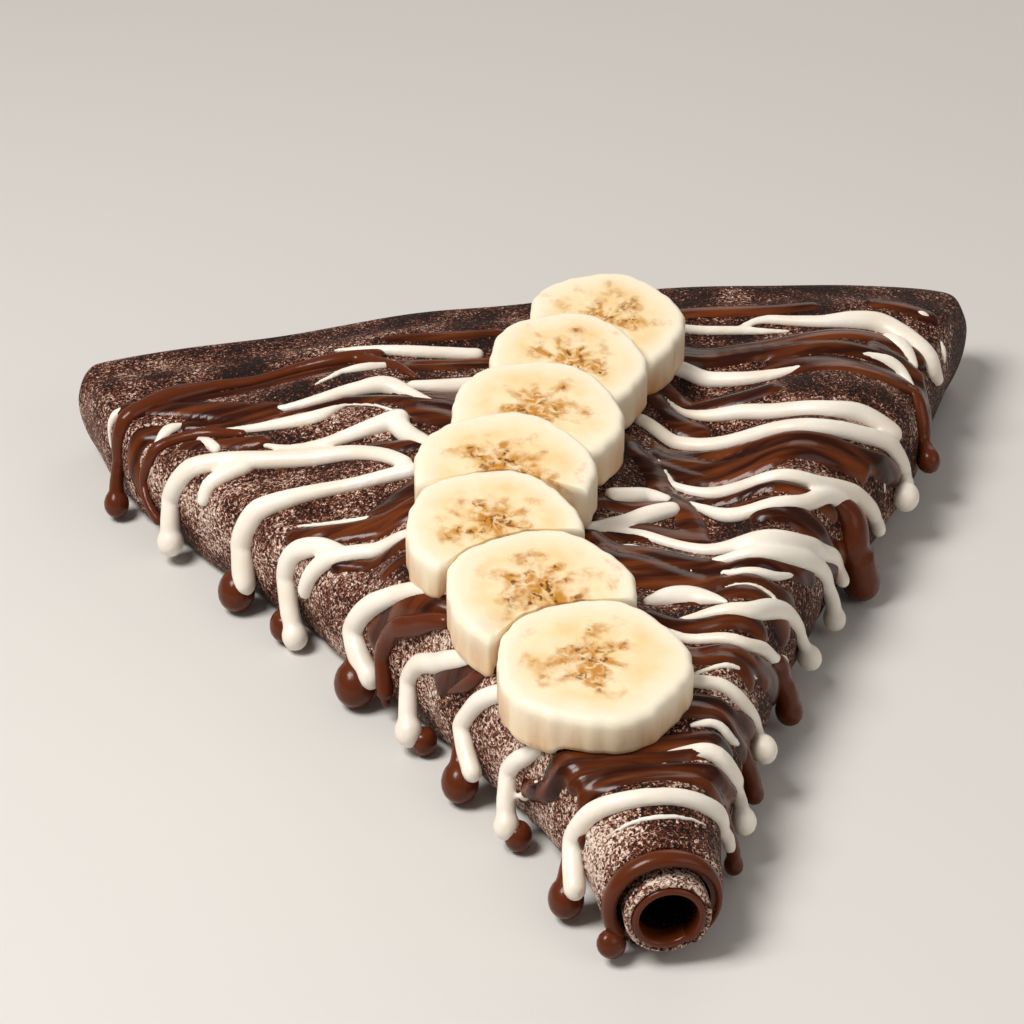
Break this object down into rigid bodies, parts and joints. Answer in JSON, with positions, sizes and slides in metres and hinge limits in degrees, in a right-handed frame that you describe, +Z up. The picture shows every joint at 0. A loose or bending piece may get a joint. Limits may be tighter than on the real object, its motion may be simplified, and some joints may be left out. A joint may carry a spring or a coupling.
{
  "type": "banana crepe",
  "caption": "Dark crepe rolled and folded to a fan, with a row of banana slices on top and drizzles of white and milk chocolate running down its sides",
  "frame": {"origin": "On the flat underside of the crepe, halfway along its length on its middle line", "axes": "+Z up; +Y from the open end of the roll to the wide folded back; +X to the right, seen from the open end"},
  "size_m": [0.1807, 0.1868, 0.0387],
  "materials": {
    "chocolate_crepe": "satin",
    "inner_crepe": "satin",
    "milk_chocolate": "gloss",
    "banana": "satin"
  },
  "bodies": {
    "root": {"crepe": "chocolate_crepe", "inner_roll": "inner_crepe", "filling": "milk_chocolate", "banana_slice_1": "banana", "banana_slice_2": "banana", "banana_slice_3": "banana", "banana_slice_4": "banana", "banana_slice_5": "banana", "banana_slice_6": "banana", "banana_slice_7": "banana"}
  },
  "joints": []
}
